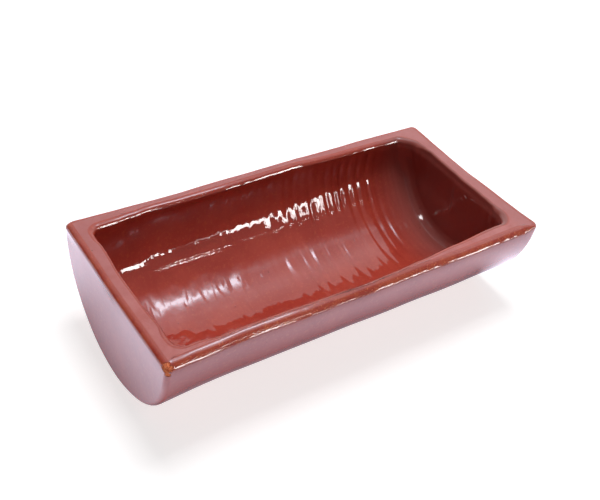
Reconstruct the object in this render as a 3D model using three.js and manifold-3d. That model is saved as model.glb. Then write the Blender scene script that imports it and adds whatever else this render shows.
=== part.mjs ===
// Half-round clay tile dish: a closed-ended trough with the form of a barrel roof tile laid hollow side up.
//
// The real one is thrown on a wheel as a closed drum and cut in half lengthwise, a little above its axis.
// It is set down on a slightly flattened foot, wiped round along the cut edges, glazed and fired in one
// piece. The model follows those steps:
//   1. the drum's outside and its hollow are each revolved from a profile, the hollow with throwing rings;
//   2. a lofted blank halves the drum at the rim and rounds the outer edge of the cut;
//   3. the foot is cut flat;
//   4. the hollow is taken out, together with a lofted mouth that rounds the inner edge of the rim;
//   5. the lip of the hollow is let wander, and the base end set a little askew, as the hands left them.
//
// Millimetres. +X runs from the thrown base to the closed-over top of the drum, +Z is up, and the origin
// is on the floor under the middle of the dish.

import * as THREE from "three";
import { mergeVertices } from "three/addons/utils/BufferGeometryUtils.js";
import Module from "manifold-3d";

// Drum, outside
const LENGTH = 316.6; // along the axis
const BARREL_RADIUS = 75; // at its widest
const CUT_ABOVE_AXIS = 6; // the drum is halved this far above its axis, so the section is over a half
const FOOT_WIDTH = 28; // flat strip that the dish stands on
const BASE_CROWN = 0.6; // the base end swells out by this much at the axis
const TOP_HOLLOW = 2.6; // the top end is drawn in by this much at the axis
const BASE_EDGE_RADIUS = 4; // where the base end meets the barrel
const TOP_EDGE_RADIUS = 5; // where the top end meets the barrel
const BASE_LEAN = 2.7; // the base end leans out by this much from the floor to the rim
const BASE_SKEW = 1.3; // and stands out by this much at the -Y side, and in at the other
const LEAN_REACH = 70; // how far from the base end that dies out

// Waist: the barrel narrows towards the base end and flares out a little again before it
const WAIST_DEPTH = 2.6; // off the radius
const WAIST_FROM_BASE = 56; // from the base end to the narrowest place
const FLARE_LENGTH = 92; // over which it would come back to the full radius, past the base end
const TAPER_LENGTH = 215; // from there back to the full radius, towards the top end
const TAPER_POWER = 1.5; // how the taper eases out

// Walls and the hollow's corners
const SIDE_WALL = 11;
const BASE_WALL = 12;
const TOP_WALL = 13;
const BASE_FILLET = 6;
const TOP_FILLET = 15;

// Throwing rings: shallow grooves that the fingers left inside, next to the top end
const RING_PITCH = 6.2;
const RING_DEPTH = 0.6;
const RING_COUNT = 20;
const RING_GROWTH = 12; // the grooves deepen over this many pitches, towards the top end
const RING_MARGIN = 2; // plain clay between the last groove and the top fillet

// Rim edges
const RIM_OUTER_RADIUS = 3.6;
const RIM_INNER_RADIUS = 3;
const BASE_RIM_ROUNDING = 7; // the outer edge is rounded off this much further in, along the base end
const ROUNDING_REACH = 22; // and comes back to the plain radius this far from the base end

// How far the lip of the hollow leans in from the true form, at places along each of its sides
const FRONT_LIP = [
  [-152, 2.6], [-134, 1.9], [-118, -0.8], [-60, -1], [-35, -1.1], [-6, -2],
  [20, -1.2], [44, 0.1], [80, 2.7], [120, 5.2], [158, 5.2],
]; // along the -Y side: x, inward
const BACK_LIP = [
  [-146, -0.5], [-110, -1.3], [-60, -2], [-20, -2.4], [30, -3.6], [60, -3], [120, -2.6], [150, -1.5],
]; // along the +Y side: x, inward
const BASE_LIP = [
  [-62, 2], [-45, 1.6], [-20, 0.4], [10, 0], [35, 1.2], [62, 1.6],
]; // along the base end: y, inward
const TOP_LIP = [
  [-62, 6.4], [-50, 5.6], [-42, 3.8], [-30, 2.5], [-18, 1.6], [-8, 1.4],
  [8, 0.4], [20, 0.3], [35, 0.2], [44, 2], [52, 5], [62, 9],
]; // along the top end: y, inward
const LIP_REACH = 42; // how far down the wall that is felt
const END_LIP_REACH = 36; // and how far along the barrel, from an end's wall
const SIDE_FROM = 30; // a side starts to take part this far from the middle
const SIDE_TO = 56; // and takes its full part from here

// Facets
const ROUND_SEGMENTS = 56; // round the whole drum
const END_STEPS = 3; // from the axis to the edge of an end
const CORNER_STEPS = 4; // in the quarter round between an end and the barrel
const FLARE_STEPS = 7;
const TAPER_STEPS = 8;
const STEPS_PER_RING = 3;
const RIM_STEPS = 3; // in each rounded edge of the rim

const GLAZED_CLAY = new THREE.MeshStandardMaterial({ color: 0xa03e30, roughness: 0.14, metalness: 0 });

const CLEAR = 5; // how far a cutting solid runs past what it cuts
const SHY = 0.15; // how far a rounding tool starts off the face that it leaves
const SMALLEST_RADIUS = 0.2;

const baseEnd = -LENGTH / 2;
const topEnd = LENGTH / 2;
const axisHeight = Math.sqrt(BARREL_RADIUS ** 2 - (FOOT_WIDTH / 2) ** 2);
const rimHeight = axisHeight + CUT_ABOVE_AXIS;
const waist = baseEnd + WAIST_FROM_BASE;
const ringsEnd = topEnd - TOP_WALL - TOP_FILLET - RING_MARGIN;
const ringsStart = ringsEnd - RING_COUNT * RING_PITCH;

const wasm = await Module();
wasm.setup();

// ---- Meshes and solids ------------------------------------------------------

function solidOf(geometry) {
  const bare = geometry.clone();
  bare.deleteAttribute("normal");
  bare.deleteAttribute("uv");
  const merged = mergeVertices(bare, 1e-4);
  const vertProperties = new Float32Array(merged.attributes.position.array);
  const triVerts = new Uint32Array(merged.index.array);
  return new wasm.Manifold(new wasm.Mesh({ numProp: 3, vertProperties, triVerts }));
}

function geometryOf(solid) {
  const mesh = solid.getMesh();
  const geometry = new THREE.BufferGeometry();
  geometry.setAttribute("position", new THREE.BufferAttribute(mesh.vertProperties, 3));
  geometry.setIndex(new THREE.BufferAttribute(mesh.triVerts, 1));
  return geometry.toNonIndexed();
}

// ---- Profiles: x is along the drum's axis and y is the radius ---------------------

function steps(from, to, count) {
  return Array.from({ length: count + 1 }, (_, i) => from + ((to - from) * i) / count);
}

// How much narrower than its full radius the barrel is
function waistAt(x) {
  const flared = THREE.MathUtils.clamp((waist - x) / FLARE_LENGTH, 0, 1);
  const tapered = THREE.MathUtils.clamp((x - waist) / TAPER_LENGTH, 0, 1);
  return (WAIST_DEPTH * (1 + Math.cos(Math.PI * flared)) * (1 - tapered) ** TAPER_POWER) / 2;
}

// How deep the throwing rings are
function ringAt(x) {
  const ring = THREE.MathUtils.clamp((x - ringsStart) / RING_PITCH, 0, RING_COUNT);
  const strength = Math.min(1, ring / RING_GROWTH);
  return (RING_DEPTH * strength * (1 - Math.cos(2 * Math.PI * ring))) / 2;
}

const waistStations = [
  ...steps(waist - FLARE_LENGTH, waist, FLARE_STEPS),
  ...steps(waist, waist + TAPER_LENGTH, TAPER_STEPS).slice(1),
];
const ringStations = steps(ringsStart, ringsEnd, RING_COUNT * STEPS_PER_RING);

const outside = {
  radius: BARREL_RADIUS,
  baseWall: 0,
  topWall: 0,
  baseCorner: BASE_EDGE_RADIUS,
  topCorner: TOP_EDGE_RADIUS,
  grooveAt: () => 0,
  stations: waistStations,
};

const hollow = {
  radius: BARREL_RADIUS - SIDE_WALL,
  baseWall: BASE_WALL,
  topWall: TOP_WALL,
  baseCorner: BASE_FILLET,
  topCorner: TOP_FILLET,
  grooveAt: ringAt,
  stations: [...waistStations.filter((x) => x < ringsStart - 1), ...ringStations],
};

function quarterRound(x, y, radius, startAngle, endAngle) {
  return new THREE.EllipseCurve(x, y, radius, radius, startAngle, endAngle, true).getPoints(CORNER_STEPS);
}

// A drum's profile, from the axis at its base end to the axis at its top end. It can be grown evenly all
// round by a few millimetres, or shrunk.
function profileOf(drum, grown = 0) {
  const baseCorner = Math.max(drum.baseCorner + grown, SMALLEST_RADIUS);
  const topCorner = Math.max(drum.topCorner + grown, SMALLEST_RADIUS);
  const baseFace = baseEnd + BASE_CROWN + drum.baseWall - grown;
  const topFace = topEnd - drum.topWall + grown;
  const barrelStart = baseFace + baseCorner;
  const barrelEnd = topFace - topCorner;
  const barrelAt = (x) => drum.radius + grown - waistAt(x) + drum.grooveAt(x);
  const baseRadius = barrelAt(barrelStart) - baseCorner;
  const topRadius = barrelAt(barrelEnd) - topCorner;

  const shares = steps(0, 1, END_STEPS).slice(0, -1);
  const base = shares.map((s) => new THREE.Vector2(baseFace - BASE_CROWN * (1 - s ** 2), baseRadius * s));
  const top = shares.map((s) => new THREE.Vector2(topFace - TOP_HOLLOW * (1 - s ** 2), topRadius * s));
  const barrel = drum.stations
    .filter((x) => x > barrelStart + 1 && x < barrelEnd - 1)
    .map((x) => new THREE.Vector2(x, barrelAt(x)));
  return [
    ...base,
    ...quarterRound(barrelStart, baseRadius, baseCorner, Math.PI, Math.PI / 2),
    ...barrel,
    ...quarterRound(barrelEnd, topRadius, topCorner, Math.PI / 2, 0),
    ...top.reverse(),
  ];
}

// ---- Revolved drums ---------------------------------------------------------

function revolved(profile) {
  const turned = profile.map(({ x, y }) => new THREE.Vector2(y, x));
  const geometry = new THREE.LatheGeometry(turned, ROUND_SEGMENTS);
  geometry.rotateZ(-Math.PI / 2);
  geometry.translate(0, 0, axisHeight);
  return solidOf(geometry);
}

// ---- Lofts through level outlines ---------------------------------------------

// The outline of a drum where a level plane cuts it at the given height over its axis
function outlineOf(profile, height) {
  const over = profile.filter((point) => point.y > height);
  const first = profile.indexOf(over[0]);
  const last = profile.indexOf(over[over.length - 1]);
  const crossing = (from, to) => from.clone().lerp(to, (height - from.y) / (to.y - from.y)).x;
  const side = over.map(({ x, y }) => new THREE.Vector2(x, Math.sqrt(y ** 2 - height ** 2)));
  return [
    new THREE.Vector2(crossing(profile[first - 1], profile[first]), 0),
    ...side.map(({ x, y }) => new THREE.Vector2(x, -y)),
    new THREE.Vector2(crossing(profile[last], profile[last + 1]), 0),
    ...side.reverse(),
  ];
}

// A closed solid through a stack of outlines with as many points each, from the lowest to the highest
function lofted(levels) {
  const count = levels[0].outline.length;
  const positions = levels.flatMap(({ outline, z }) => outline.flatMap(({ x, y }) => [x, y, z]));
  const index = [];
  for (let level = 0; level + 1 < levels.length; level++)
    for (let i = 0; i < count; i++) {
      const here = level * count + i;
      const next = level * count + ((i + 1) % count);
      index.push(here, next, next + count, here, next + count, here + count);
    }
  const highest = (levels.length - 1) * count;
  for (const [a, b, c] of THREE.ShapeUtils.triangulateShape(levels[0].outline, []))
    index.push(c, b, a);
  for (const [a, b, c] of THREE.ShapeUtils.triangulateShape(levels[levels.length - 1].outline, []))
    index.push(highest + a, highest + b, highest + c);
  const geometry = new THREE.BufferGeometry();
  geometry.setAttribute("position", new THREE.Float32BufferAttribute(positions, 3));
  geometry.setIndex(index);
  return solidOf(geometry);
}

// Levels of a quarter round at the rim. The outline moves by up to the radius, out for 1 and in for -1,
// and at the base end by as much again as asked.
function rimLevels(drum, radius, direction, atBase = 0) {
  return steps(0, Math.PI / 2, RIM_STEPS).map((angle) => {
    const moved = angle === 0 ? -SHY : radius * (1 - Math.cos(angle));
    const z = rimHeight - radius + radius * Math.sin(angle);
    const outline = outlineOf(profileOf(drum, direction * moved), z - axisHeight);
    const drawn = outline.map(({ x, y }) => {
      const nearBase = THREE.MathUtils.clamp(1 - (x - baseEnd) / ROUNDING_REACH, 0, 1);
      return new THREE.Vector2(x + atBase * nearBase * (1 - Math.cos(angle)), y);
    });
    return { outline: drawn, z };
  });
}

// ---- The dish -------------------------------------------------------------------

// Stands round the lower drum with room to spare, and closes in over the rim's outer edge
function halvingBlank() {
  const skirt = outlineOf(profileOf(outside, CLEAR), 0);
  const edge = rimLevels(outside, RIM_OUTER_RADIUS, -1, BASE_RIM_ROUNDING - RIM_OUTER_RADIUS);
  return lofted([{ outline: skirt, z: -CLEAR }, ...edge]);
}

function floorCut() {
  const box = new THREE.BoxGeometry(LENGTH + 2 * CLEAR, 2 * (BARREL_RADIUS + CLEAR), BARREL_RADIUS);
  return solidOf(box.translate(0, 0, -BARREL_RADIUS / 2));
}

function mouth() {
  const edge = rimLevels(hollow, RIM_INNER_RADIUS, 1);
  const brim = edge[edge.length - 1].outline;
  return lofted([...edge, { outline: brim, z: rimHeight + CLEAR }]);
}

// The value at a place in a table of places and values, eased from each to the next
function eased(table, place) {
  const next = table.findIndex(([at]) => at > place);
  if (next === -1) return table[table.length - 1][1];
  if (next === 0) return table[0][1];
  const [from, low] = table[next - 1];
  const [to, high] = table[next];
  return THREE.MathUtils.lerp(low, high, THREE.MathUtils.smoothstep(place, from, to));
}

// Whether a point is on the hollow's side of the rim
function isInside({ x, y, z }) {
  const middleOfWall = BARREL_RADIUS - SIDE_WALL / 2 - waistAt(x);
  const middleOfBaseRim = (BASE_RIM_ROUNDING + BASE_WALL - RIM_INNER_RADIUS) / 2;
  const betweenEnds = x > baseEnd + middleOfBaseRim && x < topEnd - TOP_WALL / 2;
  return betweenEnds && Math.hypot(y, z - axisHeight) < middleOfWall;
}

// Moves a point to where it is once the lip leans in
function withLip(point) {
  const { x, y, z } = point;
  const { smoothstep } = THREE.MathUtils;
  const nearRim = smoothstep(z, rimHeight - LIP_REACH, rimHeight - RIM_INNER_RADIUS);
  const nearFront = smoothstep(-y, SIDE_FROM, SIDE_TO);
  const nearBack = smoothstep(y, SIDE_FROM, SIDE_TO);
  const baseFace = baseEnd + BASE_WALL;
  const nearBase = smoothstep(-x, -baseFace - END_LIP_REACH, -baseFace);
  const topFace = topEnd - TOP_WALL;
  const nearTop = smoothstep(x, topFace - END_LIP_REACH, topFace);
  const forward = eased(BASE_LIP, y) * nearBase - eased(TOP_LIP, y) * nearTop;
  const across = eased(FRONT_LIP, x) * nearFront - eased(BACK_LIP, x) * nearBack;
  return new THREE.Vector3(x + forward * nearRim, y + across * nearRim, z);
}

// Moves a point to where it is once the base end leans out
function withLean({ x, y, z }) {
  const leaning = (BASE_LEAN * z) / rimHeight;
  const skewed = (BASE_SKEW * y) / BARREL_RADIUS;
  const nearBase = THREE.MathUtils.smoothstep(-x, -baseEnd - LEAN_REACH, -baseEnd);
  return new THREE.Vector3(x + nearBase * (skewed - leaning), y, z);
}

// Shapes the exact form as the hands left it, and sets the dish back over the middle of its box
function shapedByHand(geometry) {
  const position = geometry.attributes.position;
  for (let i = 0; i < position.count; i++) {
    const exact = new THREE.Vector3().fromBufferAttribute(position, i);
    const { x, y, z } = withLean(isInside(exact) ? withLip(exact) : exact);
    position.setXYZ(i, x, y, z);
  }
  geometry.computeBoundingBox();
  const { min, max } = geometry.boundingBox;
  geometry.translate(-(min.x + max.x) / 2, 0, 0);
  geometry.computeVertexNormals();
  return geometry;
}

const halved = revolved(profileOf(outside)).intersect(halvingBlank());
const body = halved.subtract(floorCut()).subtract(revolved(profileOf(hollow)).add(mouth()));

const dish = new THREE.Mesh(shapedByHand(geometryOf(body)), GLAZED_CLAY);
dish.name = "tile_dish";

const group = new THREE.Group();
group.add(dish);

export default group;
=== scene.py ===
"""The looks of a half-round clay tile dish: a glazed red earthenware trough with closed ends.

The CAD node gives the size and the place. Here it is replaced by a finer surface of the same form, with
the marks of the hand: throwing rings that vary, a wavering lip, glaze that has pooled, chipped corners.
Lengths of the dish are in millimetres until its mesh is made; the rest of the scene is in metres.
"""

import math

import bpy
import numpy as np
from mathutils import Matrix, Vector


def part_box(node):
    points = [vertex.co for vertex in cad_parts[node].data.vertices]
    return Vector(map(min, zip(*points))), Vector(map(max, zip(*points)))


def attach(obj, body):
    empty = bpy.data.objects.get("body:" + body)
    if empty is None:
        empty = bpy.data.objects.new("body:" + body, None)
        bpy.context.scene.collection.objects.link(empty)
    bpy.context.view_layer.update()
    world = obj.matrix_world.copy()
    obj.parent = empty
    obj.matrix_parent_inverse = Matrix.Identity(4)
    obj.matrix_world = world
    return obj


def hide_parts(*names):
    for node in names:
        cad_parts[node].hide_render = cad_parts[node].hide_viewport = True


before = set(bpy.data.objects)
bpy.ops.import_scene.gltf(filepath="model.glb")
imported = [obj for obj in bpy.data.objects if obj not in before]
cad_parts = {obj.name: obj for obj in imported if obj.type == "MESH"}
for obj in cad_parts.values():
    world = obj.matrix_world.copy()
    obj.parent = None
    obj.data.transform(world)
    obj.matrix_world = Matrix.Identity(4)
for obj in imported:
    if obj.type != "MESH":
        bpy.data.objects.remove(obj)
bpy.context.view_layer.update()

MM = 0.001
NODE = "tile_dish"

# ---- Dimensions of the dish, mm ----------------------------------------------------

box_low, box_high = (np.array(corner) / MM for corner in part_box(NODE))
LENGTH = 316.6  # along the axis
TOP_END = box_high[0]
BASE_END = TOP_END - LENGTH
MIDDLE = TOP_END - LENGTH / 2
RIM = box_high[2]
BARREL_RADIUS = box_high[1]
FOOT_HALF_WIDTH = 14.0
AXIS = math.sqrt(BARREL_RADIUS**2 - FOOT_HALF_WIDTH**2)
SIDE_WALL = 11.0
BASE_WALL, TOP_WALL = 12.0, 11.0
BASE_CROWN, TOP_HOLLOW = 0.6, 2.6
BASE_EDGE_RADIUS, TOP_EDGE_RADIUS = 4.0, 5.0
BASE_FILLET, TOP_FILLET = 6.0, 10.0
RIM_OUTER_EDGE, RIM_INNER_EDGE = 5.2, 3.0  # heights of the sections of the rim's edges
RIM_ROUNDINGS = (2.4, 3.9)  # of the outer edge at the back and the top end, and at the base end
TIGHT_SHARE = 0.5  # of the inner edge's height that is rounded at the ends
BASE_LEAN, BASE_SKEW, LEAN_REACH = 2.7, 1.3, 70.0  # how the base end stands askew

WAIST_DEPTH, WAIST_FROM_BASE = 2.6, 56.0
FLARE_LENGTH, TAPER_LENGTH, TAPER_POWER = 92.0, 215.0, 1.5

# Throwing rings: the place, depth and width of each groove. Places are measured along the hollow's profile,
# which runs on over the fillet and up the top end's wall.
RINGS = (
    (-28.0, 0.01, 2.0), (-21.0, 0.015, 2.2), (-14.0, 0.025, 2.6), (-5.5, 0.03, 2.0), (3.6, 0.46, 3.3),
    (12.5, 0.10, 1.9), (20.2, 0.34, 2.4), (29.0, 0.42, 2.3), (36.5, 0.10, 2.0), (43.6, 0.55, 2.7),
    (52.5, 0.10, 1.5), (60.6, 0.46, 2.2), (68.5, 0.08, 1.8), (75.5, 0.12, 2.0), (84.0, 0.12, 1.8),
    (93.0, 0.30, 2.0), (103.0, 0.36, 2.0), (112.5, 0.38, 2.1), (121.0, 0.42, 2.0), (127.0, 0.32, 1.7),
    (132.5, 0.42, 1.6), (138.0, 0.34, 1.7), (143.5, 0.36, 1.6), (149.5, 0.20, 1.8), (156.0, 0.10, 2.2),
    (165.0, 0.08, 2.4),
)
# More grooves at about the same places, which are only on the back wall, and how high up they set in.
WALL_RINGS = (
    (68.5, 0.34, 1.9), (75.5, 0.40, 2.0), (84.0, 0.46, 2.1), (93.0, 0.26, 2.0), (103.0, 0.20, 2.0),
    (112.5, 0.16, 2.0),
)
WALL_RINGS_FROM = (26, 40)
# And some that are only low at the front, where glaze ran into them: how far out they set in, and how high
# up they end.
SHORE_RINGS = (
    (52.5, 0.22, 1.7), (68.5, 0.34, 1.9), (75.5, 0.36, 1.9), (84.0, 0.36, 1.9), (93.0, 0.22, 1.9),
    (103.0, 0.16, 1.9),
)
SHORE_RINGS_FROM, SHORE_RINGS_TO = (-11, -21), (30, 22)
RING_PITCH = 5.5  # how far the grooves wind forward in a turn
RINGS_BELOW_LIP = 5.0  # how far below the lip the marks of the hand are whole

# Swells and ripples of the hollow: wavelength, stretch, seed, and how deep they are in each zone.
RIPPLES = (
    (15.0, (1, 0.5, 0.5), 3, {"barrel": 0.030, "left_barrel": -0.010, "floor_barrel": 0.060}),
    (8.5, (1, 0.7, 0.7), 19, {"floor_barrel": 0.050}),
    (4.2, (1, 0.5, 0.5), 23, {"floor_barrel": 0.026}),
    (2.4, (1, 0.2, 0.2), 20, {"floor_barrel": 0.012}),
    (46.0, (1, 1, 1), 5, {"all": 0.100}),
    (6.5, (1, 0.6, 0.6), 4, {"all": 0.018, "left": -0.010}),
    (4.6, (1, 0.08, 0.08), 17, {"right": 0.030}),
    (4.0, (0.35, 1, 1), 18, {"floor": 0.012}),
)
# Where the zones begin and are whole: in x, in height, and in distance from the base end.
LEFT_ZONE, RIGHT_ZONE, LOW_ZONE, BARREL_ZONE = (0, -50), (-50, 30), (32, 24), (15, 30)

# How far the back wall is hollowed half way up: x, depth. It sets in and ends at these heights.
WALL_HOLLOW = [
    (-130, -107, -90, -60, -45, 0, 20, 40, 57, 69, 80, 108),
    (0.06, 0.12, 0.17, 0.17, 0.38, 0.45, 0.55, 0.62, 1.15, 1.05, 1.3, 1.4),
]
WALL_HOLLOW_FROM, WALL_HOLLOW_TO = (38, 53), (76, 53)
FLOOR_RISE, FLOOR_RISE_FROM = 1.0, (60, 132)  # how much the clay thickens towards the fillet, and where

# How far the lip of the hollow leans in from the true form: along the sides, at places in x from the middle
# of the drum, and along the ends, at places in y.
FRONT_LIP = (
    [-152, -134, -118, -60, -35, -6, 20, 44, 80, 120, 158],
    [2.6, 1.9, -0.8, -1.0, -1.1, -2.0, -1.2, 0.1, 2.7, 5.2, 5.2],
)
BACK_LIP = (
    [-150, -128, -114, -98, -74, -40, -10, 13, 28, 45, 70, 100, 122, 150],
    [2.9, 1.9, 0.4, -1.2, -0.6, -0.7, -1.1, -1.2, -1.7, -0.6, 0.4, 1.1, 1.8, 2.1],
)
BASE_LIP = (
    [-62, -45, -20, 10, 35, 62],
    [2.0, 1.6, 0.4, 0.0, 1.2, 1.6],
)
TOP_LIP = (
    [-62, -50, -42, -30, -18, -8, 8, 20, 35, 44, 52, 62],
    [8.4, 7.6, 5.8, 4.5, 3.6, 3.4, 2.4, 2.3, 2.2, 4.0, 7.0, 11.0],
)
LIP_REACH, END_LIP_REACH = 42.0, 36.0  # down the wall, and along the barrel
SIDE_ZONE = (30.0, 56.0)  # in distance from the middle, where the lip of a side begins and is whole
LIP_WAVER, LIP_WAVE = 0.3, 70.0

# The top of the rim sinks a little, in waves of a depth, a wavelength and a seed. So do its edges.
RIM_SINK = 0.22
RIM_WAVES = ((0.16, 60, 7), (0.03, 17, 12))
RIM_SINK_FROM = (6, 1)  # below the rim
EDGE_WAVE = (0.04, 13, 13)

# Soft dents of the outside, their wavelength, and the height below which there are none.
DENT_DEPTH, DENT_SPREAD, DENT_WAVE, DENTS_FROM = 0.20, 0.16, 52.0, 3.0

# Glaze that ran to the bottom and set there, a little askew and not quite flat: its depth at places
# along the drum, and the slope and the hollow of its surface across the drum.
POOL_PLACES = [-150, -125, -110, -98, -88, -70]
POOL_DEPTH = [0.92, 0.85, 0.60, 0.16, -0.30, -1.0]
POOL_SLOPE = -0.046
POOL_CURVE = 520.0
POOL_SWELL, POOL_WAVE = 0.04, 40.0
POOL_EDGE = 0.12  # over this depth the glaze thins out at its shore
POOL_HALF_WIDTH = 30.0
POOL_FROM_BASE, POOL_FROM_TOP = (12, 26), (16, 34)  # where it begins and is whole
# Its shore wanders, and a stretch in the middle is more ragged.
SHORE_WAVE, SHORE_FINE_WAVE = 0.06, 0.05
RAGGED_MORE, RAGGED_FROM, RAGGED_TO = 0.07, (-75, -50), (55, 30)

# ---- Steps of the fine surface -------------------------------------------------------

BARREL_STEPS = 400
BASE_STEPS, TOP_STEPS = 10, 26  # in the quarter rounds at the two ends
OUTER_ROWS, INNER_ROWS = 16, 50  # from the bottom line up one side
END_COLUMNS = 60
FLAT_STEPS = 5
# The sections of the rim's edges, from the wall to the top, in steps of a length and a tilt from level in
# degrees. The short steps bound narrow flats, where the wet edge was wiped. The other outer edges are round.
FRONT_EDGE = [
    (0.50, 79), (0.50, 70), (0.50, 63), (0.06, 57.5), (0.95, 55.3), (0.06, 53), (0.85, 49), (0.8, 45),
    (0.8, 38), (0.5, 33), (0.6, 27.5), (0.9, 25), (0.7, 22), (0.6, 12), (0.5, 4),
]
INNER_EDGE = [
    (0.45, 80), (0.06, 62.5), (1.0, 60.7), (0.06, 59), (0.7, 50), (0.7, 42), (0.7, 33), (0.6, 27),
    (0.6, 20), (0.5, 11), (0.4, 4),
]
FRONT_FLAT, INNER_FLAT = (4, 5), (2, 3)  # the rows at the upper side of the narrow flats
FLAT_TWIST = 0.022  # how much that side wavers, mm
FLAT_TURN = 0.00022  # and how much it sinks for each mm towards the top end
# Where the front's section begins and is whole: in y, and in distance from the base end and the top end.
FRONT_SECTION_Y, FRONT_SECTION_BASE, FRONT_SECTION_TOP = (-60, -70), (0, 7), (5, 14)
BASE_ROUNDING_FROM = (8, 2)  # from the base end
END_SECTION_Y = (52, 40)  # in distance from the middle


def smooth(low, high, value):
    """0 up to low, 1 from high on, and an easy step between."""
    t = np.clip((value - low) / (high - low), 0, 1)
    return t * t * (3 - 2 * t)


def eased(table, at):
    """The value at some places, with an easy step from each given place to the next."""
    places, values = np.array(table)
    k = np.clip(np.searchsorted(places, at) - 1, 0, len(places) - 2)
    t = np.clip((at - places[k]) / (places[k + 1] - places[k]), 0, 1)
    return values[k] + (values[k + 1] - values[k]) * t * t * (3 - 2 * t)


def wobble(points, wavelength, seed, waves=20):
    """A smooth random field over points, of about unit size, made of plane waves."""
    rng = np.random.default_rng(seed)
    directions = rng.normal(size=(waves, 3))
    directions /= np.linalg.norm(directions, axis=1)[:, None]
    lengths = wavelength * rng.uniform(0.7, 1.5, waves)
    phases = rng.uniform(0, 2 * np.pi, waves)
    turns = 2 * np.pi * (points @ directions.T) / lengths + phases
    return np.cos(turns).sum(axis=1) / math.sqrt(waves / 2)


# ---- Profiles: stations along the drum, with their x and radius ------------------------------


def waist_at(x):
    waist = BASE_END + WAIST_FROM_BASE
    flared = np.clip((waist - x) / FLARE_LENGTH, 0, 1)
    tapered = np.clip((x - waist) / TAPER_LENGTH, 0, 1)
    return WAIST_DEPTH * (1 + np.cos(np.pi * flared)) * (1 - tapered) ** TAPER_POWER / 2


def profile(radius, base_wall, top_wall, base_corner, top_corner):
    """The stations from the edge of the base end to the edge of the top end, and the faces of the ends.

    A station has its x, its radius, its place along the profile, and how far its surface has turned from
    the barrel towards an end: -1 at the base end's face and 1 at the top's.
    """
    base_face = BASE_END + BASE_CROWN + base_wall
    top_face = TOP_END - top_wall
    straight = np.linspace(base_face + base_corner, top_face - top_corner, BARREL_STEPS + 1)
    barrel = radius - waist_at(straight)
    base_turn = np.linspace(np.pi / 2, 0, BASE_STEPS + 1)[:-1]
    top_turn = np.linspace(0, np.pi / 2, TOP_STEPS + 1)[1:]
    x = np.r_[
        straight[0] - base_corner * np.sin(base_turn),
        straight,
        straight[-1] + top_corner * np.sin(top_turn),
    ]
    r = np.r_[
        barrel[0] - base_corner * (1 - np.cos(base_turn)),
        barrel,
        barrel[-1] - top_corner * (1 - np.cos(top_turn)),
    ]
    along = np.r_[straight[0] - base_corner * base_turn, straight, straight[-1] + top_corner * top_turn]
    turned = np.r_[-np.sin(base_turn), np.zeros(BARREL_STEPS + 1), np.sin(top_turn)]
    return np.stack([x, r, along, turned], axis=-1), (base_face, top_face)


OUTSIDE = profile(BARREL_RADIUS, 0.0, 0.0, BASE_EDGE_RADIUS, TOP_EDGE_RADIUS)
HOLLOW = profile(BARREL_RADIUS - SIDE_WALL, BASE_WALL, TOP_WALL, BASE_FILLET, TOP_FILLET)


# ---- The surface as a net of points and faces -----------------------------------------------


class Net:
    """Collects points, faces and four marks at each point.

    The marks are how far it is inside, how far it is on an edge, its place along the profile, and how far
    the surface there has turned towards an end.
    """

    def __init__(self):
        self.points, self.marks, self.faces, self.count = [], [], [], 0

    def add(self, points, inside, edge=0.0, along=0.0, turned=0.0):
        """Adds a block of points and returns their numbers in the same layout."""
        flat = points.reshape(-1, 3)
        ids = np.arange(self.count, self.count + len(flat)).reshape(points.shape[:-1])
        marks = [np.broadcast_to(mark, ids.shape).ravel() for mark in (inside, edge, along, turned)]
        self.points.append(flat)
        self.marks.append(np.stack(marks, axis=-1))
        self.count += len(flat)
        return ids

    def fill(self, ids, flip):
        """Faces between the neighbours of a grid of point numbers."""
        quads = np.stack([ids[:-1, :-1], ids[1:, :-1], ids[1:, 1:], ids[:-1, 1:]], axis=-1).reshape(-1, 4)
        self.faces.extend((quads[:, ::-1] if flip else quads).tolist())


def shell(net, shape, top_edge, rows, inside):
    """One side of the clay, outside or hollow, up to a level top edge.

    Returns the edge as a closed loop of point numbers.
    """
    stations, faces = shape
    x, r, along, turned = stations.T[:, :, None]
    highest = np.arccos(-(top_edge - AXIS) / r)
    angle = highest * np.linspace(-1, 1, 2 * rows + 1)
    barrel = np.stack([x + 0 * angle, r * np.sin(angle), AXIS - r * np.cos(angle)], axis=-1)
    barrel_ids = net.add(barrel, inside, along=along, turned=turned)
    net.fill(barrel_ids, flip=not inside)

    loops = []
    for station, face, side, bulge in ((0, faces[0], -1, -BASE_CROWN), (-1, faces[1], 1, -TOP_HOLLOW)):
        right = barrel[station, rows:]
        across = np.linspace(1, -1, END_COLUMNS + 1)[1:-1]
        y = right[:, 1:2] * across
        z = np.broadcast_to(right[:, 2:3], y.shape)
        from_axis = np.hypot(y, z - AXIS)
        edge_radius = stations[station, 1]
        end = np.stack([face + bulge * (1 - (from_axis / edge_radius) ** 2), y, z], axis=-1)[1:]
        reached = stations[station, 2] + side * (edge_radius - from_axis)
        end_ids = net.add(end, inside, along=reached[1:], turned=side)
        right_ids = barrel_ids[station, rows + 1 :][:, None]
        left_ids = barrel_ids[station, :rows][::-1][:, None]
        grid = np.concatenate([right_ids, end_ids, left_ids], axis=1)
        flip = bool(inside) != (station == 0)
        net.fill(grid, flip)
        bottom = int(barrel_ids[station, rows])
        fan = [[bottom, int(grid[0, k]), int(grid[0, k + 1])] for k in range(END_COLUMNS)]
        net.faces.extend([face_ids[::-1] for face_ids in fan] if flip else fan)
        loops.append(end_ids[-1])
    base_row, top_row = loops
    return np.concatenate([barrel_ids[:, -1], top_row, barrel_ids[::-1, 0], base_row[::-1]])


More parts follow.
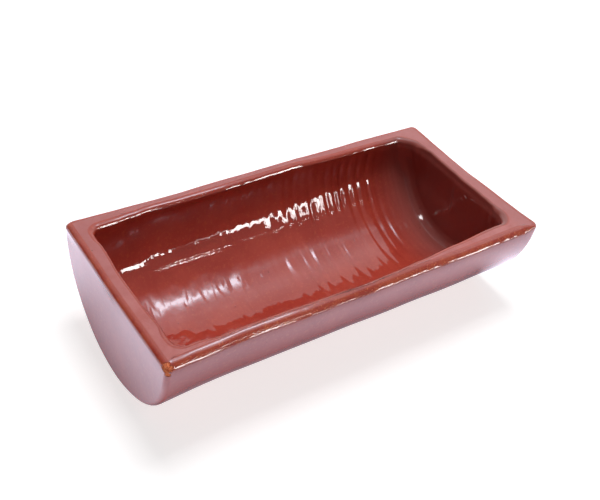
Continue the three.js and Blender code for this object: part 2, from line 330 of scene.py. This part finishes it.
def section(steps):
    """The section of an edge as shares of its height, in and up."""
    lengths, tilts = np.array(steps).T
    tilts = np.radians(tilts)
    rows = np.cumsum(np.stack([lengths * np.cos(tilts), lengths * np.sin(tilts)], axis=-1), axis=0)
    return rows / rows[-1, 1]


def quarter_round(count, share):
    """A quarter round that takes the upper share of the height, over a straight rise."""
    turns = np.linspace(0, 1, count) * np.pi / 2
    return np.stack([share * (1 - np.cos(turns)), 1 - share + share * np.sin(turns)], axis=-1)


def loop_normals(loop):
    """Unit normals in plan, pointing out, of a closed loop of points."""
    along = np.roll(loop, -1, axis=0) - np.roll(loop, 1, axis=0)
    normals = np.stack([along[:, 1], -along[:, 0], np.zeros(len(loop))], axis=-1)
    normals /= np.linalg.norm(normals, axis=1)[:, None]
    outward = (normals * loop).sum(axis=1).sum()
    return normals if outward > 0 else -normals


def edge_rows(loop, inward, height, sections, flat):
    """The rows of a rim edge, from the loop on the wall to the top of the rim.

    A row has its share in and up for every point of the loop. The narrow flat twists a little.
    """
    level, up = inward * height, np.array([0, 0, height])
    rows = [loop + level * row[:, :1] + up * row[:, 1:] for row in sections]
    twist = FLAT_TWIST * (wobble(loop, 24, seed=21) + 0.5 * wobble(loop, 6, seed=22))
    twist = twist - FLAT_TURN * loop[:, 0]
    for row in flat:
        rows[row] = rows[row] + np.array([0, 0, 1.0]) * twist[:, None]
    return rows


def rim(net, outer_ids, inner_ids):
    """The rim between the top edges of the outside and of the hollow."""
    points = np.concatenate(net.points)
    outer, inner = points[outer_ids], points[inner_ids]
    x, y = outer[:, :1], outer[:, 1:2]
    from_base, from_top = x - BASE_END, TOP_END - x
    at_front = smooth(*FRONT_SECTION_Y, y)
    at_front = at_front * smooth(*FRONT_SECTION_BASE, from_base) * smooth(*FRONT_SECTION_TOP, from_top)
    at_base = smooth(*BASE_ROUNDING_FROM, from_base)
    at_end = smooth(*END_SECTION_Y, abs(inner[:, 1:2]))

    front_edge, inner_edge = section(FRONT_EDGE), section(INNER_EDGE)
    narrow, wide = (quarter_round(len(front_edge), size / RIM_OUTER_EDGE) for size in RIM_ROUNDINGS)
    turned = [(1 - at_base) * one + at_base * other for one, other in zip(narrow, wide)]
    outer_sections = [at_front * one + (1 - at_front) * other for one, other in zip(front_edge, turned)]
    tight = quarter_round(len(inner_edge), TIGHT_SHARE)
    inner_sections = [at_end * one + (1 - at_end) * other for one, other in zip(tight, inner_edge)]
    outer_rows = edge_rows(outer, -loop_normals(outer), RIM_OUTER_EDGE, outer_sections, FRONT_FLAT)
    inner_rows = edge_rows(inner, loop_normals(inner), RIM_INNER_EDGE, inner_sections, INNER_FLAT)

    rows = [outer_ids]
    for row, (_, up) in zip(outer_rows, front_edge):
        rows.append(net.add(row, 0.0, edge=min(1.0, 4 * up * (1.02 - up))))
    for share in np.linspace(0, 1, FLAT_STEPS + 1)[1:-1]:
        rows.append(net.add(outer_rows[-1] + (inner_rows[-1] - outer_rows[-1]) * share, 0.2 + 0.6 * share))
    for row, (_, up) in zip(inner_rows[::-1], inner_edge[::-1]):
        rows.append(net.add(row, 1.0, edge=up * (1 - up)))
    rows.append(inner_ids)
    grid = np.stack(rows, axis=1)
    net.fill(np.vstack([grid, grid[:1]]), flip=True)


# ---- Marks of the hand and the kiln -------------------------------------------------------


def rings_at(along, angle, rings):
    """Depth of the throwing rings: uneven grooves that wind round the drum as a shallow helix."""
    rng = np.random.default_rng(11)
    depth = np.zeros_like(along)
    wound = along + RING_PITCH * angle / (2 * np.pi)
    for place, deep, wide in rings:
        phase, phase_2 = rng.uniform(0, 2 * np.pi, 2)
        sway = 0.4 * np.sin(2.1 * angle + phase) + 0.2 * np.sin(5.3 * angle + phase_2)
        strength = 0.82 + 0.18 * np.sin(1.7 * angle + phase_2)
        depth += deep * strength * np.exp(-(((wound - place - sway) / wide) ** 2))
    return depth


def hollow_depth(points, along, angle):
    """How deep the marks of the hand go into the hollow: rings, swells, ripples and a hollow of the wall."""
    x, y, z = points.T
    at_back = y > 0
    left, low = smooth(*LEFT_ZONE, x), smooth(*LOW_ZONE, z)
    barrel = smooth(*BARREL_ZONE, x - BASE_END)
    zones = {
        "all": 1.0, "barrel": barrel, "left": left, "left_barrel": left * barrel, "floor": left * low,
        "floor_barrel": left * low * barrel, "right": smooth(*RIGHT_ZONE, x),
    }
    depth = rings_at(along, angle, RINGS) - FLOOR_RISE * smooth(*FLOOR_RISE_FROM, along)
    depth += rings_at(along, angle, WALL_RINGS) * smooth(*WALL_RINGS_FROM, z) * at_back
    depth += rings_at(along, angle, SHORE_RINGS) * smooth(*SHORE_RINGS_FROM, y) * smooth(*SHORE_RINGS_TO, z)
    for wavelength, stretch, seed, depths in RIPPLES:
        amount = sum(deep * zones[zone] for zone, deep in depths.items())
        depth += amount * wobble(points * stretch, wavelength, seed)
    wall = smooth(*WALL_HOLLOW_FROM, z) * smooth(*WALL_HOLLOW_TO, z) * at_back
    return depth + np.interp(x, *WALL_HOLLOW) * wall


def pool_glaze(shaped, points, hollow):
    """Lifts the bottom of the hollow to the glaze that pooled there: almost level, with a wandering shore."""
    x, y, _ = points.T
    bottom = AXIS - (BARREL_RADIUS - SIDE_WALL - waist_at(x))
    level = bottom + np.interp(x, POOL_PLACES, POOL_DEPTH) + POOL_SLOPE * y + y**2 / POOL_CURVE
    level += POOL_SWELL * wobble(points, POOL_WAVE, seed=8)
    ragged = smooth(*RAGGED_FROM, x) * smooth(*RAGGED_TO, x)
    shore = level + SHORE_WAVE * wobble(points * (1, 0.8, 0), 13, seed=15)
    shore += (SHORE_FINE_WAVE + RAGGED_MORE * ragged) * wobble(points * (1, 0.55, 0), 4.6, seed=16)
    covered = smooth(0, POOL_EDGE, shore - shaped[:, 2]) * hollow * (np.abs(y) < POOL_HALF_WIDTH)
    sheltered = smooth(*POOL_FROM_BASE, x - BASE_END) * smooth(*POOL_FROM_TOP, TOP_END - x)
    shaped[:, 2] += (level - shaped[:, 2]) * covered * sheltered


def lean_lip(shaped, points, inside):
    """Leans the lip of the hollow in and out along all four sides."""
    x, y, z = points.T
    near_rim = smooth(RIM - LIP_REACH, RIM - RIM_INNER_EDGE, z) * inside.clip(0, 1)
    base_face, top_face = BASE_END + BASE_WALL, TOP_END - TOP_WALL
    near_front, near_back = smooth(*SIDE_ZONE, -y), smooth(*SIDE_ZONE, y)
    near_base = smooth(base_face + END_LIP_REACH, base_face, x)
    near_top = smooth(top_face - END_LIP_REACH, top_face, x)
    along_axis = x - MIDDLE
    ends = eased(BASE_LIP, y) * near_base - eased(TOP_LIP, y) * near_top
    sides = eased(FRONT_LIP, along_axis) * near_front - eased(BACK_LIP, along_axis) * near_back
    waver = LIP_WAVER * wobble(points * (1, 0, 0), LIP_WAVE, seed=9) * (near_back + near_front)
    shaped[:, 0] += ends * near_rim
    shaped[:, 1] += sides * near_rim
    shaped[:, 1] += waver * near_rim


def shape_by_hand(points, inside, edge, along, turned):
    """Moves the points of the exact form to where the thrower's hands and the kiln left them."""
    shaped = points.copy()
    x, y, z = points.T
    radius = np.hypot(y, z - AXIS)
    angle = np.arctan2(y, AXIS - z)
    radial = np.sqrt(1 - turned**2) / radius.clip(1)
    outward = np.stack([turned, y * radial, (z - AXIS) * radial], axis=-1)

    # The marks of the hand in the hollow die out at the lip. The glaze covers them at the bottom.
    lip_height = RIM - RIM_INNER_EDGE
    hollow = (inside > 0.9) & (z < lip_height + 0.01)
    below_lip = smooth(lip_height, lip_height - RINGS_BELOW_LIP, z) * hollow
    shaped += outward * (hollow_depth(points, along, angle) * below_lip)[:, None]
    pool_glaze(shaped, points, hollow)

    # The outside has soft dents under the glaze.
    outer = inside < 0.1
    dents = (DENT_DEPTH + DENT_SPREAD * wobble(points, DENT_WAVE, seed=6)).clip(0)
    shaped -= outward * (dents * outer * (z > DENTS_FROM))[:, None]

    lean_lip(shaped, points, inside)

    # The top of the rim and its edges waver.
    sink = RIM_SINK + sum(deep * wobble(points, wavelength, seed) for deep, wavelength, seed in RIM_WAVES)
    below_rim, at_rim = RIM_SINK_FROM
    shaped[:, 2] -= sink.clip(0) * smooth(RIM - below_rim, RIM - at_rim, z)
    deep, wavelength, seed = EDGE_WAVE
    shaped[:, 2] -= deep * wobble(points, wavelength, seed) * edge

    # The base end stands askew.
    leaning = BASE_SKEW * y / BARREL_RADIUS - BASE_LEAN * z / RIM
    shaped[:, 0] += leaning * smooth(BASE_END + LEAN_REACH, BASE_END, x)
    return shaped


def dish_mesh():
    """The whole surface of the dish, kept within the CAD node's box, in metres."""
    net = Net()
    outer_loop = shell(net, OUTSIDE, RIM - RIM_OUTER_EDGE, OUTER_ROWS, inside=0.0)
    inner_loop = shell(net, HOLLOW, RIM - RIM_INNER_EDGE, INNER_ROWS, inside=1.0)
    rim(net, outer_loop, inner_loop)
    points = np.concatenate(net.points)
    marks = np.concatenate(net.marks)
    points[:, 2] = points[:, 2].clip(0)
    shaped = shape_by_hand(points, *marks.T)
    shaped = shaped.clip(box_low, box_high)
    mesh = bpy.data.meshes.new("clay_body")
    mesh.from_pydata((shaped * MM).tolist(), [], net.faces)
    mesh.validate()
    for column, name in enumerate(("inside", "edge")):
        layer = mesh.attributes.new(name, "FLOAT", "POINT")
        layer.data.foreach_set("value", marks[:, column].astype(np.float32))
    mesh.polygons.foreach_set("use_smooth", [True] * len(mesh.polygons))
    mesh.update()
    return mesh


# ---- Glaze ------------------------------------------------------------------------------


class Nodes:
    """A short way to write a node tree."""

    def __init__(self, tree):
        self.tree = tree

    def add(self, kind, **settings):
        node = self.tree.nodes.new(kind)
        for name, value in settings.items():
            setattr(node, name, value)
        return node

    def put(self, socket, value):
        if isinstance(value, bpy.types.NodeSocket):
            self.tree.links.new(value, socket)
        else:
            socket.default_value = value

    def math(self, operation, *values, clamp=False):
        node = self.add("ShaderNodeMath", operation=operation, use_clamp=clamp)
        for socket, value in zip(node.inputs, values):
            self.put(socket, value)
        return node.outputs[0]

    def ramp(self, value, low, high, start=0.0, end=1.0):
        """A smooth step from start to end as value goes from low to high."""
        node = self.add("ShaderNodeMapRange", interpolation_type="SMOOTHSTEP")
        for name, number in (("From Min", low), ("From Max", high), ("To Min", start), ("To Max", end)):
            node.inputs[name].default_value = number
        self.put(node.inputs["Value"], value)
        return node.outputs[0]

    def noise(self, vector, scale, detail=2.0, roughness=0.5):
        node = self.add("ShaderNodeTexNoise")
        self.put(node.inputs["Vector"], vector)
        node.inputs["Scale"].default_value = scale
        node.inputs["Detail"].default_value = detail
        node.inputs["Roughness"].default_value = roughness
        return node.outputs["Fac"]

    def mix(self, share, first, second):
        node = self.add("ShaderNodeMix", data_type="RGBA")
        self.put(node.inputs[0], share)
        self.put(node.inputs[6], first)
        self.put(node.inputs[7], second)
        return node.outputs[2]

    def near(self, vector, place, radius):
        """1 near a place, falling to 0 at the radius."""
        node = self.add("ShaderNodeVectorMath", operation="DISTANCE")
        self.put(node.inputs[0], vector)
        node.inputs[1].default_value = place
        return self.ramp(node.outputs["Value"], radius * 0.72, radius, 1.0, 0.0)


GLAZE = (0.41, 0.056, 0.036, 1)
GLAZE_THICK = (0.36, 0.042, 0.028, 1)
GLAZE_THIN = (0.48, 0.088, 0.040, 1)
# The rim's top at the back and the top end, where its painted sheen is weaker.
RIM_WEAKER_SHEEN = (0.36, 0.105, 0.105, 1)
# Painted shade for the inside towards the top end.
TOP_END_PAINTED_SHADE = (0.24, 0.072, 0.063, 1)
# Thin glaze on the rim's top, painted paler as a sheen of reflected light.
THIN_GLAZE_AND_SHEEN = (0.50, 0.150, 0.140, 1)
GLAZE_PIT = (0.16, 0.03, 0.02, 1)
BARE_CLAY = (0.82, 0.25, 0.115, 1)

# Chips on the corners: place and radius in metres.
CHIPS = [
    ((-0.1585, -0.0725, 0.0785), 0.0048),
    ((-0.1590, -0.0735, 0.0740), 0.0030),
    ((-0.1570, 0.0735, 0.0780), 0.0024),
]
CHIP_DEPTH, CHIP_SWIRL = 0.0006, 0.004  # and how far its outline swirls
PIT_DEPTH = 0.00015
SKIN = ((120, 2, 0.00004), (280, 1, 0.000022))  # the glaze's uneven skin: scale, detail and height
GRAIN = 0.000012  # its finest part, which the inside hardly has


def position(tree):
    """The place on the dish, in metres, and its x and y."""
    place = tree.add("ShaderNodeTexCoord").outputs["Object"]
    apart = tree.add("ShaderNodeSeparateXYZ")
    tree.put(apart.inputs[0], place)
    return place, apart.outputs["X"], apart.outputs["Y"]


def body_colour(tree, place, x, edge, fine):
    """Thick and thin glaze, worn along the edges, with specks of bare clay there."""
    cloud = tree.noise(place, 38, 5, 0.55)
    colour = tree.mix(tree.ramp(cloud, 0.35, 0.68), GLAZE_THICK, GLAZE)
    colour = tree.mix(tree.math("MULTIPLY", tree.ramp(fine, 0.50, 0.72), 0.5), colour, GLAZE_THIN)
    worn = tree.math("MULTIPLY", edge, tree.ramp(tree.noise(place, 130, 4, 0.6), 0.38, 0.60))
    colour = tree.mix(tree.math("MULTIPLY", worn, 0.75), colour, GLAZE_THIN)
    speck = tree.math("MULTIPLY", edge, tree.ramp(tree.noise(place, 620, 3, 0.6), 0.58, 0.66))
    speck = tree.math("MULTIPLY", speck, tree.ramp(x, -0.1555, -0.1515, 0.0, 0.6))
    return tree.mix(speck, colour, BARE_CLAY)


def rim_colour(tree, colour, place, x, y, inside):
    """Thin glaze with a painted sheen along the top of the rim, weaker at the back and the top end."""
    on_rim = tree.math("MULTIPLY", tree.ramp(inside, 0.02, 0.25), tree.ramp(inside, 0.80, 0.98, 1.0, 0.0))
    cloud = tree.noise(place, 60, 5, 0.65)
    # Painted sheen: the rim's top is painted paler, as if it reflected light.
    thin_and_sheen = tree.math("MULTIPLY", on_rim, tree.ramp(cloud, 0.25, 0.75, 0.45, 1.0))
    colour = tree.mix(thin_and_sheen, colour, THIN_GLAZE_AND_SHEEN)
    # The painted sheen is weaker at the back and the top end.
    far = tree.math("MAXIMUM", tree.ramp(y, -0.03, 0.05), tree.ramp(x, 0.135, 0.148))
    return tree.mix(tree.math("MULTIPLY", tree.math("MULTIPLY", far, on_rim), 0.45), colour, RIM_WEAKER_SHEEN)


def top_end_shade(tree, colour, x, inside):
    """Painted shade inside the hollow towards the top end and on its wall, where less light falls."""
    # A painted shade that deepens towards the top end's wall.
    shaded = tree.math("MULTIPLY", tree.ramp(x, 0.100, 0.142), tree.ramp(inside, 0.90, 1.0))
    return tree.mix(tree.math("MULTIPLY", shaded, 0.75), colour, TOP_END_PAINTED_SHADE)


def pinholes(tree, place):
    """1 in a pinhole of the glaze. There are only a few."""
    pits = tree.add("ShaderNodeTexVoronoi", feature="F1")
    tree.put(pits.inputs["Vector"], place)
    pits.inputs["Scale"].default_value = 150
    pits.inputs["Randomness"].default_value = 1.0
    chosen = tree.add("ShaderNodeSeparateColor")
    tree.put(chosen.inputs[0], pits.outputs["Color"])
    rare = tree.ramp(chosen.outputs[0], 0.90, 0.92)
    return tree.math("MULTIPLY", tree.ramp(pits.outputs["Distance"], 0.04, 0.13, 1.0, 0.0), rare)


def chips(tree, place):
    """1 where a corner is chipped down to the clay, with a ragged outline."""
    swirl = tree.add("ShaderNodeTexNoise")
    tree.put(swirl.inputs["Vector"], place)
    swirl.inputs["Scale"].default_value = 420
    centred = tree.add("ShaderNodeVectorMath", operation="SUBTRACT")
    tree.put(centred.inputs[0], place)
    centred.inputs[1].default_value = (CHIP_SWIRL / 2,) * 3
    swirled = tree.add("ShaderNodeVectorMath", operation="MULTIPLY_ADD")
    tree.put(swirled.inputs[0], swirl.outputs["Color"])
    swirled.inputs[1].default_value = (CHIP_SWIRL,) * 3
    tree.put(swirled.inputs[2], centred.outputs[0])
    chip = 0.0
    for spot, radius in CHIPS:
        chip = tree.math("MAXIMUM", chip, tree.near(swirled.outputs[0], spot, radius))
    return chip


def relief(tree, place, inside, pit, chip):
    """The normals of an uneven skin of glaze, with its pinholes and chips."""
    grain = tree.math("MULTIPLY", tree.noise(place, 900, 2, 0.5), GRAIN)
    skin = tree.math("MULTIPLY", grain, tree.ramp(inside, 0.85, 1.0, 1.0, 0.1))
    for scale, detail, height in SKIN:
        skin = tree.math("MULTIPLY_ADD", tree.noise(place, scale, detail, 0.5), height, skin)
    skin = tree.math("MULTIPLY_ADD", pit, -PIT_DEPTH, skin)
    skin = tree.math("MULTIPLY_ADD", chip, -CHIP_DEPTH, skin)
    bump = tree.add("ShaderNodeBump")
    bump.inputs["Strength"].default_value = 1.0
    bump.inputs["Distance"].default_value = 1.0
    tree.put(bump.inputs["Height"], skin)
    return bump.outputs[0]


def glaze_material():
    """Red-brown clay colour under a clear coat, which is the gloss of the glaze."""
    material = bpy.data.materials.new("red_brown_glaze")
    material.use_nodes = True
    tree = Nodes(material.node_tree)
    shader = material.node_tree.nodes["Principled BSDF"]
    place, x, y = position(tree)
    inside = tree.add("ShaderNodeAttribute", attribute_name="inside").outputs["Fac"]
    edge = tree.add("ShaderNodeAttribute", attribute_name="edge").outputs["Fac"]
    fine = tree.noise(place, 420, 4, 0.65)
    pit, chip = pinholes(tree, place), chips(tree, place)

    colour = body_colour(tree, place, x, edge, fine)
    # Painted sheen along the rim's top.
    colour = rim_colour(tree, colour, place, x, y, inside)
    # Painted shade inside, towards the top end.
    colour = top_end_shade(tree, colour, x, inside)
    colour = tree.mix(tree.math("MULTIPLY", pit, 0.6), colour, GLAZE_PIT)
    clay = tree.mix(tree.ramp(tree.noise(place, 900, 3, 0.7), 0.42, 0.62), BARE_CLAY, GLAZE_THIN)
    colour = tree.mix(chip, colour, clay)
    tree.put(shader.inputs["Base Color"], colour)
    tree.put(shader.inputs["Roughness"], tree.ramp(fine, 0.3, 0.7, 0.30, 0.42))
    tree.put(shader.inputs["Coat Weight"], tree.math("SUBTRACT", 1.0, chip))
    normal = relief(tree, place, inside, pit, chip)
    tree.put(shader.inputs["Normal"], normal)
    tree.put(shader.inputs["Coat Normal"], normal)

    shader.inputs["IOR"].default_value = 1.5
    shader.inputs["Specular IOR Level"].default_value = 0.0
    shader.inputs["Coat Roughness"].default_value = 0.03
    shader.inputs["Coat IOR"].default_value = 1.52
    return material


# ---- Studio -------------------------------------------------------------------------------

CAMERA_PLACE = Vector((-0.3362, -0.3599, 0.4580))
CAMERA_AIM = Vector((0.51885, 0.57143, -0.63582))
CAMERA_UP = Vector((0.27630, 0.59175, 0.75729))
FOCAL_PIXELS, FRAME_WIDTH = 867.9, 600.0

WHITE = (1, 1, 1)
SKY = (0.79, 0.92, 1.0)
PALE_SKY = (0.74, 0.87, 1.0)
HAZE = (0.96, 0.93, 1.0)

# The lamps that light the clay. The gloss doesn't show them: place, facing, width, height, radiance, colour.
# A soft one is above and behind, one at the top lights the floor of the dish more than its walls, and a
# small one is in front.
CLAY_LAMPS = {
    "fill": ((0.575, 0.50, 1.02), (0, 0, 1), 1.45, 1.42, 0.63, HAZE),
    "top": ((0.09, 0.20, 1.25), (0, 0, 1), 0.50, 0.50, 14.0, WHITE),
    "front": ((0.0, -0.45, 0.55), (0, -0.6, 0.75), 0.30, 0.20, 1.6, WHITE),
}

# What the gloss shows instead. First a bank with soft borders: the y of its front and back, and its radiance.
BANK = (
    (-0.60, 0.70, 0.20), (-0.48, 0.56, 0.22), (-0.41, 0.42, 0.26), (-0.37, 0.26, 0.30), (-0.33, 0.12, 0.40),
)
BANK_X, BANK_HEIGHT = (-0.15, 1.45), 1.06
# Then a bright spot below it with soft borders: width, depth and radiance. It lies around a place in x and y
# with these shares of its depth to the front and to the back.
SPOT = (
    (0.60, 0.85, 0.4), (0.34, 0.60, 0.5), (0.31, 0.42, 1.2), (0.28, 0.30, 2.6), (0.23, 0.20, 4.4),
    (0.15, 0.11, 8.0),
)
SPOT_X, SPOT_Y, SPOT_HEIGHT = 0.33, -0.14, 1.00
SPOT_TO_FRONT, SPOT_TO_BACK = 0.42, 0.58
PANEL_STEP = 0.01  # the panels of the bank and the spot lie this far apart

# Low strips in front, which draw the bright lines on the back wall and along the edges: azimuths and
# elevations in degrees, and radiance.
STRIP_ELEVATIONS, BEAD_ELEVATIONS, STRIP_RADIANCE = (13.2, 17.6), (13.4, 18.4), 24
STRIPS = [
    ("strip", (145.8, 150.0), STRIP_ELEVATIONS, STRIP_RADIANCE),
    ("strip", (144.2, 145.2), STRIP_ELEVATIONS, STRIP_RADIANCE),
    ("strip", (142.0, 143.7), STRIP_ELEVATIONS, STRIP_RADIANCE),
    ("strip", (134.0, 141.0), STRIP_ELEVATIONS, STRIP_RADIANCE),
    ("strip_end", (160.4, 165.0), (13.0, 22.5), STRIP_RADIANCE),
    ("strip_end", (158.9, 160.0), BEAD_ELEVATIONS, STRIP_RADIANCE),
    ("strip_end", (156.9, 158.2), BEAD_ELEVATIONS, STRIP_RADIANCE),
    ("strip_end", (155.2, 156.1), BEAD_ELEVATIONS, STRIP_RADIANCE),
    ("strip_link", (150.0, 160.4), (14.7, 16.2), 6.0),
]
# A lamp close by, which stands in for the strips where the top end hides them from the back wall.
NEAR_STRIP = ((0.278, -0.273, 0.176), (0.47, -0.81, 0.34), 0.060, 0.015, 16)
# Rows of far windows, as small dots: the first azimuth, the step, the count, the elevation and the width.
FAR_WINDOWS = [(148.0, 1.3, 7, 31.8, 0.3), (147.8, 1.5, 4, 29.0, 0.2), (142.1, 0.8, 4, 26.2, 0.1)]
FAR_WINDOW_HALF_HEIGHT, FAR_WINDOW_RADIANCE = 0.5, 60
# Windows at the left, which show in the round at the foot of the top end's wall.
LEFT_WINDOWS = [("left_window", (256, 261), (49, 54), 20), ("left_strip", (262, 290), (29.5, 31.5), 5.0)]
DISTANCE = 3.0  # of the strips and the windows
FAINT = 0.07  # what the background gives to the clay


def camera():
    data = bpy.data.cameras.new("camera")
    data.sensor_width = 36
    data.lens = data.sensor_width * FOCAL_PIXELS / FRAME_WIDTH
    data.clip_start = 0.01
    seen = bpy.data.objects.new("camera", data)
    back = -CAMERA_AIM.normalized()
    right = CAMERA_UP.cross(back).normalized()
    up = back.cross(right)
    seen.matrix_world = Matrix((right, up, back)).transposed().to_4x4()
    seen.matrix_world.translation = CAMERA_PLACE
    bpy.context.scene.collection.objects.link(seen)
    bpy.context.scene.camera = seen


def panel(name, place, facing, width, height, radiance, colour=WHITE):
    """A rectangular lamp. Facing is the direction from the dish to the lamp; a radiance of 1 is white."""
    data = bpy.data.lights.new(name, "AREA")
    data.shape, data.size, data.size_y = "RECTANGLE", width, height
    data.energy = radiance * math.pi * width * height
    data.color = colour
    lamp = bpy.data.objects.new(name, data)
    lamp.location = place
    lamp.rotation_mode = "QUATERNION"
    lamp.rotation_quaternion = Vector(facing).to_track_quat("Z", "Y")
    bpy.context.scene.collection.objects.link(lamp)
    return lamp


def direction(azimuth, elevation):
    """Azimuth from +Y towards +X, in degrees."""
    a, e = math.radians(azimuth), math.radians(elevation)
    return Vector((math.sin(a) * math.cos(e), math.cos(a) * math.cos(e), math.sin(e)))


def distant(name, azimuths, elevations, radiance):
    """A distant lamp that spans the given azimuths and elevations, in degrees. Only the gloss shows it."""
    facing = direction(sum(azimuths) / 2, sum(elevations) / 2)
    width = 2 * DISTANCE * math.tan(math.radians(abs(azimuths[1] - azimuths[0]) / 2))
    height = 2 * DISTANCE * math.tan(math.radians(abs(elevations[1] - elevations[0]) / 2))
    lamp = panel(name, facing * DISTANCE, facing, width, height, radiance)
    lamp.visible_diffuse = False


def gloss_panel(name, x, y, height, radiance, colour):
    """A level panel over the dish, from x[0] to x[1] and y[0] to y[1]. Only the gloss shows it."""
    middle = (sum(x) / 2, sum(y) / 2, height)
    lamp = panel(name, middle, (0, 0, 1), x[1] - x[0], y[1] - y[0], radiance, colour)
    lamp.visible_diffuse = False


def lights():
    for name, lamp in CLAY_LAMPS.items():
        panel(name, *lamp).visible_glossy = False
    for step, (front, back, radiance) in enumerate(BANK):
        gloss_panel("bank", BANK_X, (front, back), BANK_HEIGHT - PANEL_STEP * step, radiance, SKY)
    for step, (wide, deep, radiance) in enumerate(SPOT):
        x = (SPOT_X - wide / 2, SPOT_X + wide / 2)
        y = (SPOT_Y - SPOT_TO_FRONT * deep, SPOT_Y + SPOT_TO_BACK * deep)
        gloss_panel("spot", x, y, SPOT_HEIGHT - PANEL_STEP * step, radiance, PALE_SKY)
    for strip in STRIPS:
        distant(*strip)
    near = panel("strip_near", *NEAR_STRIP)
    near.visible_diffuse = near.visible_camera = False
    for first, step, count, elevation, wide in FAR_WINDOWS:
        elevations = (elevation - FAR_WINDOW_HALF_HEIGHT, elevation + FAR_WINDOW_HALF_HEIGHT)
        for azimuth in (first + step * k for k in range(count)):
            distant("far_window", (azimuth, azimuth + wide), elevations, FAR_WINDOW_RADIANCE)
    for window in LEFT_WINDOWS:
        distant(*window)


def sky():
    """A white background for the camera, a faint light for the clay, and a soft sweep for the gloss.

    The sweep is bright at the back and to the right, and dim at the left.
    """
    world = bpy.data.worlds.new("studio")
    world.use_nodes = True
    bpy.context.scene.world = world
    tree = Nodes(world.node_tree)
    background = world.node_tree.nodes["Background"]
    background.inputs["Color"].default_value = (1, 1, 1, 1)
    toward = tree.add("ShaderNodeVectorMath", operation="DOT_PRODUCT")
    tree.put(toward.inputs[0], tree.add("ShaderNodeTexCoord").outputs["Generated"])
    toward.inputs[1].default_value = (0.6, 0.8, 0)
    sweep = tree.ramp(toward.outputs["Value"], 0.15, 0.6, 0.32, 1.2)
    apart = tree.add("ShaderNodeSeparateXYZ")
    tree.put(apart.inputs[0], tree.add("ShaderNodeTexCoord").outputs["Generated"])
    sweep = tree.math("MULTIPLY", sweep, tree.ramp(apart.outputs["X"], -0.75, -0.45, 0.25, 1.0))
    path = tree.add("ShaderNodeLightPath")
    shiny = tree.math("MAXIMUM", path.outputs["Is Glossy Ray"], path.outputs["Is Transmission Ray"])
    strength = tree.math("MULTIPLY_ADD", tree.math("SUBTRACT", sweep, FAINT), shiny, FAINT)
    strength = tree.math("MAXIMUM", strength, path.outputs["Is Camera Ray"])
    tree.put(background.inputs["Strength"], strength)


FLOOR_HALF_WIDTH = 6.0
FLOOR_LIGHT, FLOOR_LIGHT_SEEN = 1.5, 0.2  # its glow, and what the camera sees more
FLOOR_GLOSS = 2.5  # its brightness in the gloss
FLOOR_GLOW_SHARE = 0.42  # the rest of the floor is plain and takes the shadow
SHADE_BESIDE, SHADE_DEPTH = (0.055, 0.130), 0.88  # how far the gloss's shade reaches from the axis
SHADE_LENGTH, SHADE_END = 0.1527, 0.035  # from the middle along the axis, and over which it dies out
FLOOR_TINT = (0.84, 0.83, 1.0, 1)


def floor():
    """The ground. The camera sees it white with a soft shadow.

    The gloss sees it over-white, and dimmed in a soft shade that reaches a little beyond the dish.
    """
    mesh = bpy.data.meshes.new("floor")
    half = FLOOR_HALF_WIDTH
    corners = [(-half, -half, 0), (half, -half, 0), (half, half, 0), (-half, half, 0)]
    mesh.from_pydata(corners, [], [(0, 1, 2, 3)])
    ground = bpy.data.objects.new("floor", mesh)
    bpy.context.scene.collection.objects.link(ground)
    material = bpy.data.materials.new("white_ground")
    material.use_nodes = True
    tree = Nodes(material.node_tree)
    shader = material.node_tree.nodes["Principled BSDF"]
    shader.inputs["Base Color"].default_value = (0.95, 0.95, 0.95, 1)
    shader.inputs["Roughness"].default_value = 1.0
    shader.inputs["Specular IOR Level"].default_value = 0.0
    apart = tree.add("ShaderNodeSeparateXYZ")
    tree.put(apart.inputs[0], tree.add("ShaderNodeTexCoord").outputs["Object"])
    from_axis = tree.math("ABSOLUTE", apart.outputs["Y"])
    from_middle = tree.math("ABSOLUTE", apart.outputs["X"])
    beside = tree.ramp(from_axis, *SHADE_BESIDE, SHADE_DEPTH, 0.0)
    beyond = tree.math("MULTIPLY_ADD", from_middle, -1 / SHADE_END, 1 + SHADE_LENGTH / SHADE_END, clamp=True)
    lit = tree.math("MULTIPLY_ADD", tree.math("MULTIPLY", beside, beyond), -FLOOR_GLOSS, FLOOR_GLOSS)
    path = tree.add("ShaderNodeLightPath")
    shiny = path.outputs["Is Glossy Ray"]
    plain = tree.math("MULTIPLY_ADD", path.outputs["Is Camera Ray"], FLOOR_LIGHT_SEEN, FLOOR_LIGHT)
    strength = tree.math("MULTIPLY_ADD", tree.math("SUBTRACT", lit, plain), shiny, plain)
    glow = tree.add("ShaderNodeEmission")
    tree.put(glow.inputs["Strength"], strength)
    tree.put(glow.inputs["Color"], tree.mix(shiny, (1, 1, 1, 1), FLOOR_TINT))
    mix = tree.add("ShaderNodeMixShader")
    tree.put(mix.inputs[0], tree.math("MULTIPLY_ADD", shiny, 1 - FLOOR_GLOW_SHARE, FLOOR_GLOW_SHARE))
    tree.put(mix.inputs[1], shader.outputs[0])
    tree.put(mix.inputs[2], glow.outputs[0])
    tree.put(material.node_tree.nodes["Material Output"].inputs["Surface"], mix.outputs[0])
    mesh.materials.append(material)


dish = bpy.data.objects.new("glazed_dish", dish_mesh())
bpy.context.scene.collection.objects.link(dish)
dish.data.materials.append(glaze_material())
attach(dish, "root")
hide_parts(NODE)

camera()
lights()
sky()
floor()
bpy.context.scene.view_settings.view_transform = "Standard"
